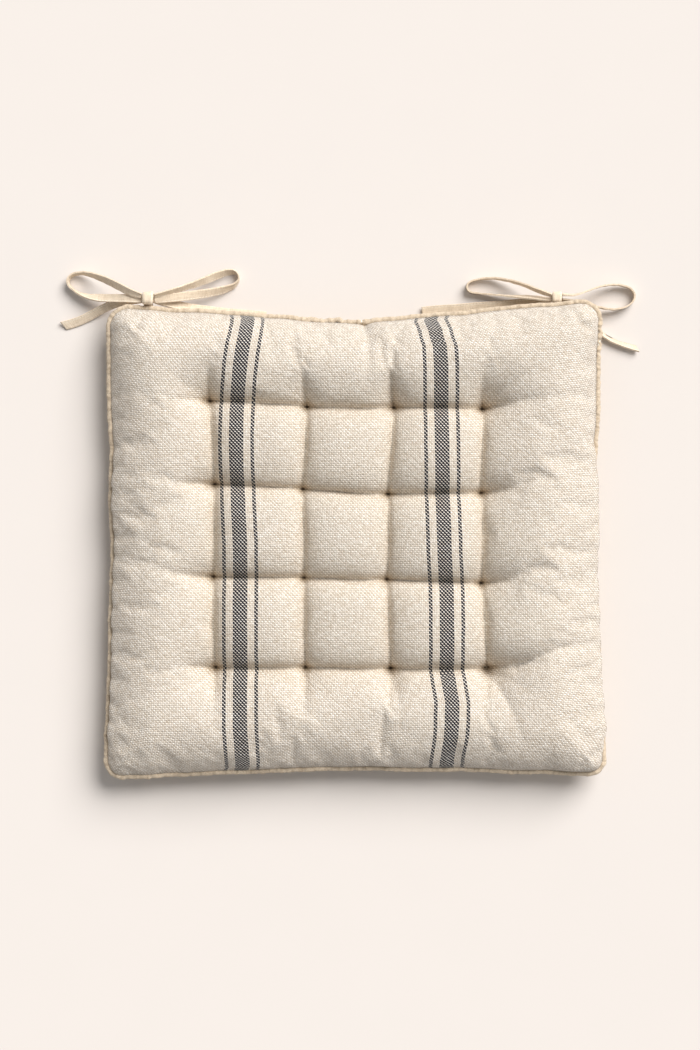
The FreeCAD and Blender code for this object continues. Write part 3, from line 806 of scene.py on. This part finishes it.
filled = fill_cover(start, sum(shell_faces(*grid.shape[:2]), []), hold)
top_points, under_points = [finer(panel_points.reshape(grid.shape[:2] + (3,))).reshape(-1, 3)
                            for panel_points in np.split(filled, 2)]
grid = finer(grid)
spots = grid.reshape(-1, 2)
inset, to_column, to_row, past_columns, past_rows, near_tuft = creases_of(grid, 2)

# Folds in the margins: from and to in plan, depth, and half width, all in millimetres.
FOLDS = [
    ((110, -109), (166, -104), 8.0, 6.5), ((136, -107), (208, -86), 9.0, 5.5),
    ((112, -112), (146, -127), 4.5, 5.0), ((113, -114), (140, -168), 6.5, 7.0),
    ((108, 112), (152, 142), 5.0, 7.0), ((110, 110), (206, 118), 4.5, 7.0),
    ((33, 114), (35, 170), 7.5, 6.5), ((7, 186), (9, 134), 7.0, 5.0),
    ((-41, 114), (-47, 150), 2.0, 6.0), ((30, -112), (38, -160), 5.0, 6.0),
    ((-43, -111), (-46, -150), 2.2, 6.0), ((-122, 47), (-196, 64), 2.6, 7.0),
    ((-122, 44), (-170, 26), 1.8, 6.0), ((-123, -32), (-194, -12), 3.0, 7.0),
    ((-121, -110), (-170, -130), 2.6, 8.0), ((-124, 118), (-164, 150), 2.6, 8.0),
    ((108, 39), (200, 50), 3.0, 7.0), ((108, -37), (200, -27), 3.0, 7.0),
    ((-119, -112), (-122, -160), 2.4, 6.5), ((-124, 120), (-120, 166), 2.4, 7.0),
    ((108, 113), (114, 164), 2.4, 7.0), ((178, -150), (206, -192), 2.6, 6.0),
    ((-180, -160), (-206, -194), 2.4, 6.0), ((-170, 20), (-204, 44), 1.6, 5.0),
    ((-174, -2), (-204, 18), 1.5, 5.0), ((-172, 78), (-202, 88), 1.4, 5.0)]


def fold_depth(places):
    """How far the folds in the margins lower each point."""
    total = np.zeros(len(places))
    for begin, finish, depth, width in FOLDS:
        begin, finish = np.array(begin) * mm, np.array(finish) * mm
        way = finish - begin
        share = np.clip((places - begin) @ way / (way @ way), 0, 1)[:, None]
        nearest = begin + share * way + np.sin(share * math.pi) * np.array((-way[1], way[0])) * 0.05
        aside = np.linalg.norm(places - nearest, axis=1)
        total += depth * mm * (1 - 0.8 * smooth(share[:, 0])) * np.exp(-aside / (width * mm))
    return total


CREASE_WIDTH = 3.2 * mm
UNDERSIDE_CLEARANCE = 0.25 * mm


def stitched_down(row_depth, column_depth, hole):
    """How far the creases' sharp bottoms and the stitches pull each point in."""
    stray = unevenness(spots, 45 * mm, 23, 1) * 0.7 * mm
    in_rows = 1 - smooth(past_columns / (0.8 * CREASE_REACH))
    in_columns = 1 - smooth(past_rows / (0.8 * CREASE_REACH))
    row = np.exp(-np.abs(to_row + stray) / CREASE_WIDTH) * in_rows * row_depth
    column = np.exp(-np.abs(to_column + stray) / CREASE_WIDTH) * in_columns * column_depth
    return np.maximum(row, column) + hole * np.exp(-(near_tuft / (2.4 * mm)) ** 2)


# The cloth gathers in short rays round each stitch, and in short puckers along the seam.
nearest_tuft = np.argmin(tuft_distances(spots), axis=0)
round_tuft = spots - tufts.reshape(-1, 2)[nearest_tuft]
heading = np.arctan2(round_tuft[:, 1], round_tuft[:, 0])
rays = np.sin(7 * heading + 1.7 * nearest_tuft) + 0.6 * np.sin(11 * heading + 2.9 * nearest_tuft)
rays *= 0.35 * mm * smooth(near_tuft / (4 * mm)) * np.exp(-near_tuft / (7 * mm))
puckers = unevenness(spots, 11 * mm, 21, 1) * np.exp(-inset / (9 * mm))
puckers += unevenness(spots, 20 * mm, 22, 1) * np.exp(-inset / (26 * mm))
puckers *= 0.6 * mm * smooth(inset / (4 * mm))
top_points[:, 2] += (rays + puckers - fold_depth(spots)
                     - stitched_down(row_depth=3.4 * mm, column_depth=2.2 * mm, hole=2.8 * mm))
under_points[:, 2] += (stitched_down(row_depth=0.8 * mm, column_depth=0.8 * mm, hole=2.0 * mm)
                       - puckers - rays)
under_points[:, 2] = np.maximum(under_points[:, 2], UNDERSIDE_CLEARANCE)

# How deep in a crease each point is, for the painted warm shade there.
CREASE_SHADE_REACH = 8.0 * mm
in_crease = np.maximum(np.exp(-to_row / CREASE_SHADE_REACH) * (1 - smooth(past_columns / CREASE_REACH)),
                       np.exp(-to_column / CREASE_SHADE_REACH) * (1 - smooth(past_rows / CREASE_REACH)))

# The top bulges out over the piping at the sides, most of all at the right.
RIGHT_BULGE, LEFT_BULGE, FRONT_BULGE = 8.0 * mm, -3.6 * mm, -1.0 * mm
bulge = smooth((0.11 - spots[:, 1]) / (60 * mm)) * smooth((spots[:, 1] + 0.192) / (35 * mm))
off_seam = smooth(inset / (3.5 * mm))
bulge *= smooth((np.abs(spots[:, 0]) - 0.165) / (25 * mm)) * off_seam * np.exp(-(inset / (17 * mm)) ** 2)
top_points[:, 0] += bulge * np.where(spots[:, 0] > 0, RIGHT_BULGE, LEFT_BULGE)
top_points[:, 1] += FRONT_BULGE * np.exp(-((spots[:, 1] + 0.187) / (12 * mm)) ** 2) * off_seam

# The number of the warp yarn at the middle of each group of stripes. The drifts say how far
# sideways the cloth lies at each Y, in millimetres.
STRIPE_YARNS = (-66, 51)
YARN = 1.5 * mm
LEFT_DRIFT = [(-196, 2.0), (-1, 2.0), (47, -0.6), (80, -1.4), (118, -0.6), (160, 3.6), (186, 6.8)]
RIGHT_DRIFT = [(-196, 0.8), (-165, 4.2), (-137, 4.6), (-110, 0.4), (-38, 0.1), (-14, -1.6), (39, -3.2),
               (111, -4.2), (161, -4.8), (186, -8.2)]
left = np.interp(spots[:, 1] / mm, *zip(*LEFT_DRIFT))
right = np.interp(spots[:, 1] / mm, *zip(*RIGHT_DRIFT))
share = smooth((spots[:, 0] / YARN - STRIPE_YARNS[0]) / (STRIPE_YARNS[1] - STRIPE_YARNS[0]))
drift = np.column_stack([(left + (right - left) * share) * mm, np.zeros(len(spots))])


def slope_length(points, axis):
    """How much longer the cloth is than its plan, from the middle out to each point near the edges."""
    longer = (np.linalg.norm(np.diff(points.reshape(grid.shape[:2] + (3,)), axis=axis), axis=2)
              - np.linalg.norm(np.diff(grid, axis=axis), axis=2))
    near_edge = 1 - smooth(inset.reshape(grid.shape[:2]) / EDGE_ROLL)
    longer *= near_edge[1:] if axis == 0 else near_edge[:, 1:]
    total = np.insert(np.cumsum(longer, axis=axis), 0, 0, axis=axis)
    return (total - np.take(total, [total.shape[axis] // 2], axis=axis)).ravel()


top_cloth = spots - drift + np.column_stack([slope_length(top_points, 1), -slope_length(top_points, 0)])
under_cloth = spots + np.column_stack([slope_length(under_points, 1), -slope_length(under_points, 0)])

striped_cloth, tree, shader = new_material("striped_cloth")
CREAM_LIGHT = (0.96, 0.915, 0.855, 1.0)
CREAM_DARK = (0.745, 0.67, 0.58, 1.0)
CREAM_WARP_SHADE = (0.44, 0.335, 0.225, 1.0)
NAVY = (0.014, 0.0135, 0.021, 1.0)
PIT_SHADE = (0.31, 0.235, 0.17, 1.0)
PAINTED_DIMPLE_SHADE = (0.87, 0.80, 0.69, 1.0)
CREASE_SHADE = (0.99, 0.96, 0.905, 1.0)
HOLE_SHADE = (0.13, 0.085, 0.05, 1.0)
WHITE = (1.0, 1.0, 1.0, 1.0)
cloth = add(tree, "ShaderNodeAttribute", attribute_name="cloth").outputs["Vector"]
yarns = place(tree, weave, {"Cloth": cloth, "Warp Pitch": YARN, "Weft Pitch": 1.55 * mm, "Wander": 0.6})
in_stripe = None
for centre in STRIPE_YARNS:
    off = maths(tree, "ABSOLUTE", maths(tree, "SUBTRACT", yarns.outputs["Yarn"], centre - 0.5))
    wide = maths(tree, "LESS_THAN", off, 4.0)
    thin = maths(tree, "MULTIPLY", maths(tree, "GREATER_THAN", off, 8.0),
                 maths(tree, "LESS_THAN", off, 10.0))
    both = maths(tree, "ADD", wide, thin)
    in_stripe = both if in_stripe is None else maths(tree, "ADD", in_stripe, both)
nub_noise = add(tree, "ShaderNodeTexNoise",
                {"Vector": cloth, "Scale": 330.0, "Detail": 2.0}).outputs["Fac"]
nubs = add(tree, "ShaderNodeMapRange", {0: nub_noise, 1: 0.42, 2: 0.62}).outputs[0]
cream = blend_colours(tree, yarns.outputs["Tone"], CREAM_DARK, CREAM_LIGHT)
# Painted shade of the weave: the cream warp floats are painted dark tan, less where the yarn has slubs.
warp_shade_share = maths(tree, "MULTIPLY", yarns.outputs["Warp"], maths(tree, "MULTIPLY_ADD", nubs, -0.35, 0.62))
cream = blend_colours(tree, warp_shade_share, cream, CREAM_WARP_SHADE)
navy_share = add(tree, "ShaderNodeMapRange", {0: yarns.outputs["Lead"], 1: -0.62, 2: -0.36}).outputs[0]
colour = blend_colours(tree, maths(tree, "MULTIPLY", in_stripe, navy_share), cream, NAVY)
# Painted shade in the pits between the yarns, where the weave is low.
pits = add(tree, "ShaderNodeMapRange", {0: yarns.outputs["Height"], 1: 0.1, 2: 0.68}).outputs[0]
colour = blend_colours(tree, 1.0, colour, blend_colours(tree, pits, PIT_SHADE, WHITE), "MULTIPLY")
# Painted shade round each stitch's dimple and in the bottom of the creases, and the stitch's hole painted
# dark.
painted_shade_marks = add(tree, "ShaderNodeAttribute", attribute_name="painted_shade_marks").outputs["Vector"]
aside = add(tree, "ShaderNodeSeparateXYZ", {0: painted_shade_marks})
round_hole = add(tree, "ShaderNodeCombineXYZ",
                 {0: aside.outputs[0], 1: maths(tree, "MULTIPLY", aside.outputs[1], 1.6)}).outputs[0]
from_hole = add(tree, "ShaderNodeVectorMath", {0: round_hole}, operation="LENGTH").outputs["Value"]
from_hole = maths(tree, "MULTIPLY_ADD", nub_noise, 1.2 * mm, from_hole)
painted_dimple_shade = add(tree, "ShaderNodeMapRange", {0: from_hole, 1: 1.5 * mm, 2: 12.0 * mm, 3: 1.0, 4: 0.0},
            interpolation_type="SMOOTHSTEP").outputs[0]
# Painted shade: the stitch's hole is painted near black.
hole = add(tree, "ShaderNodeMapRange",
           {0: from_hole, 1: 1.5 * mm, 2: 3.3 * mm, 3: 0.88, 4: 0.0}).outputs[0]
for share, shade in ((painted_dimple_shade, PAINTED_DIMPLE_SHADE), (aside.outputs[2], CREASE_SHADE)):
    colour = blend_colours(tree, 1.0, colour, blend_colours(tree, share, WHITE, shade), "MULTIPLY")
colour = blend_colours(tree, hole, colour, HOLE_SHADE)
relief = maths(tree, "MULTIPLY_ADD", nubs, 0.5, yarns.outputs["Height"])
finish_surface(tree, shader, colour, relief, 0.6 * mm, 0.95, roughness=0.9, specular=0.15, sheen=0.2)

plain_cloth, tree, shader = new_material("plain_cloth")
cloth = add(tree, "ShaderNodeAttribute", attribute_name="cloth").outputs["Vector"]
yarns = place(tree, weave,
              {"Cloth": cloth, "Warp Pitch": 0.8 * mm, "Weft Pitch": 0.85 * mm, "Wander": 0.4})
colour = blend_colours(tree, yarns.outputs["Tone"], (0.66, 0.56, 0.41, 1.0), (0.82, 0.73, 0.58, 1.0))
# Painted shade in the pits between the yarns, where the weave is low.
pits = add(tree, "ShaderNodeMapRange", {0: yarns.outputs["Height"], 1: 0.05, 2: 0.75, 3: 0.7}).outputs[0]
shade = add(tree, "ShaderNodeCombineColor", {0: pits, 1: pits, 2: pits}).outputs[0]
colour = blend_colours(tree, 1.0, colour, shade, "MULTIPLY")
finish_surface(tree, shader, colour, yarns.outputs["Height"], 0.3 * mm, 0.8, roughness=0.9, specular=0.15,
               sheen=0.15)

CLOTH_THICKNESS = 0.9 * mm
top_faces, under_faces, rim_faces = shell_faces(*grid.shape[:2])
PANELS = (
    ("top_panel", top_points, top_faces, top_cloth, striped_cloth, "top_cover", "striped_cloth"),
    ("underside_panel", under_points, [face[::-1] for face in top_faces], under_cloth, plain_cloth,
     "bottom_cover", "plain_cloth"))
for name, points, faces, flat, cloth_material, node, slot_name in PANELS:
    panel = mesh_piece(name, points, faces, cloth_material, flat)
    thickness = panel.modifiers.new("cloth_thickness", "SOLIDIFY")
    thickness.thickness = CLOTH_THICKNESS
    thickness.offset = -1
    if name == "top_panel":
        # Marks for the painted shade: each point's offset from its nearest tuft, and how near a crease it
        # is.
        marks = panel.data.attributes.new("painted_shade_marks", "FLOAT_VECTOR", "POINT")
        marks.data.foreach_set("vector", np.column_stack([round_tuft, in_crease]).ravel())
    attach(panel, "pad")
    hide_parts(node)

# ---------------------------------------------------------------------------------------------
# Filling
# Loose polyester fibre, pushed in by hand before the back edge is closed, then tied down.
# ---------------------------------------------------------------------------------------------

fibre, tree, shader = new_material("fibre")
spot = add(tree, "ShaderNodeTexCoord").outputs["Object"]
strands = add(tree, "ShaderNodeTexNoise", {"Vector": spot, "Scale": 260.0, "Detail": 8.0,
                                           "Roughness": 0.75, "Distortion": 2.5}).outputs["Fac"]
clumps = add(tree, "ShaderNodeTexNoise", {"Vector": spot, "Scale": 40.0, "Detail": 2.0}).outputs["Fac"]
colour = blend_colours(tree, strands, (0.80, 0.80, 0.79, 1.0), (0.95, 0.95, 0.94, 1.0))
relief = maths(tree, "MULTIPLY_ADD", clumps, 3.0, strands)
finish_surface(tree, shader, colour, relief, 1.2 * mm, 0.8, roughness=0.95, sheen=0.3)

FILLING_GAP = 1.6 * mm
THINNED = 1.0 * mm           # how much thinner the filling gets at the seam, on each side
inner = 1 - 0.035 * np.exp(-inset / (10 * mm))[:, None]
at_seam = THINNED * np.exp(-inset / (8 * mm))
top_fill = top_points - [0, 0, FILLING_GAP]
under_fill = under_points + [0, 0, FILLING_GAP]
middle_z = (top_fill[:, 2] + under_fill[:, 2]) / 2
top_fill[:, :2] *= inner
under_fill[:, :2] *= inner
top_fill[:, 2] = np.maximum(top_fill[:, 2] - at_seam, middle_z + 0.2 * mm)
under_fill[:, 2] = np.minimum(under_fill[:, 2] + at_seam, middle_z - 0.2 * mm)
filling = mesh_piece("fibre_filling", np.concatenate([top_fill, under_fill]),
                     top_faces + under_faces + rim_faces, fibre)
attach(filling, "pad")
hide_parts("filling")

# ---------------------------------------------------------------------------------------------
# Sewing thread
# Spun polyester lockstitch, one thread above the seam and one below, 5 mm in from the edge.
# ---------------------------------------------------------------------------------------------

seam_thread, tree, shader = new_material("seam_thread")
spot = add(tree, "ShaderNodeTexCoord").outputs["Object"]
twist = add(tree, "ShaderNodeTexWave", {"Vector": spot, "Scale": 600.0, "Distortion": 1.0},
            bands_direction="DIAGONAL").outputs["Fac"]
colour = blend_colours(tree, twist, (0.70, 0.62, 0.48, 1.0), (0.90, 0.84, 0.72, 1.0))
finish_surface(tree, shader, colour, twist, 0.1 * mm, 0.7, roughness=0.6)
for node in ("seam_needle_thread", "seam_bobbin_thread"):
    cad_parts[node].data.materials.clear()
    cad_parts[node].data.materials.append(seam_thread)

# ---------------------------------------------------------------------------------------------
# Tufting stitches
# Waxed cotton twine passed through the whole pad and back a few millimetres away, drawn tight and
# tied, so that each stitch sinks to the bottom of its own dimple.
# ---------------------------------------------------------------------------------------------

tuft_twine, tree, shader = new_material("tuft_twine")
spot = add(tree, "ShaderNodeTexCoord").outputs["Object"]
twist = add(tree, "ShaderNodeTexWave", {"Vector": spot, "Scale": 350.0, "Distortion": 1.5},
            bands_direction="DIAGONAL").outputs["Fac"]
# Painted shade: the twine's brown is made much darker, for the shade at the bottom of its deep dimple.
colour = blend_colours(tree, twist, (0.13, 0.085, 0.045, 1.0), (0.34, 0.25, 0.15, 1.0))
finish_surface(tree, shader, colour, twist, 0.15 * mm, 0.8, roughness=0.7)
TWINE_RADIUS = 0.55 * mm
STITCH_HALF = 1.4 * mm
STITCH_ARCH = 0.9 * mm


def twine_tube(points, radius, sides=10):
    """A round twine along a closed line, as points and faces."""
    ahead = closed_directions(points)
    level = np.tile((0.0, 1.0, 0.0), (len(points), 1))
    across = np.cross(ahead, level)
    angles = 2 * math.pi * np.arange(sides) / sides
    rings = (points[:, None] + level[:, None] * (np.cos(angles) * radius)[None, :, None]
             + across[:, None] * (np.sin(angles) * radius)[None, :, None])
    return rings.reshape(-1, 3), ring_faces(len(points), sides, True)


for row in range(TUFT_ROWS):
    for column in range(TUFT_COLUMNS):
        node = f"tuft_thread_r{row + 1}c{column + 1}"
        index = 2 * ROW_LINES[row] * grid.shape[1] + 2 * COLUMN_LINES[column]
        top, bottom = top_points[index], under_points[index]
        x, y = top[0], top[1]
        stitch_top, stitch_bottom = top[2] + TWINE_RADIUS * 0.4, bottom[2] - TWINE_RADIUS * 0.4
        ends = np.linspace(0, math.pi, 13)
        upper = [(x + math.cos(a) * STITCH_HALF, y, stitch_top + (math.sin(a) - 1) * STITCH_ARCH)
                 for a in ends]
        lower = [(x - math.cos(a) * STITCH_HALF, y, stitch_bottom + (1 - math.sin(a)) * STITCH_ARCH)
                 for a in ends]
        points, faces = twine_tube(np.array(upper + lower), TWINE_RADIUS)
        stitch = mesh_piece(f"tuft_stitch_r{row + 1}c{column + 1}", points, faces, tuft_twine)
        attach(stitch, "pad")
        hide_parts(node)
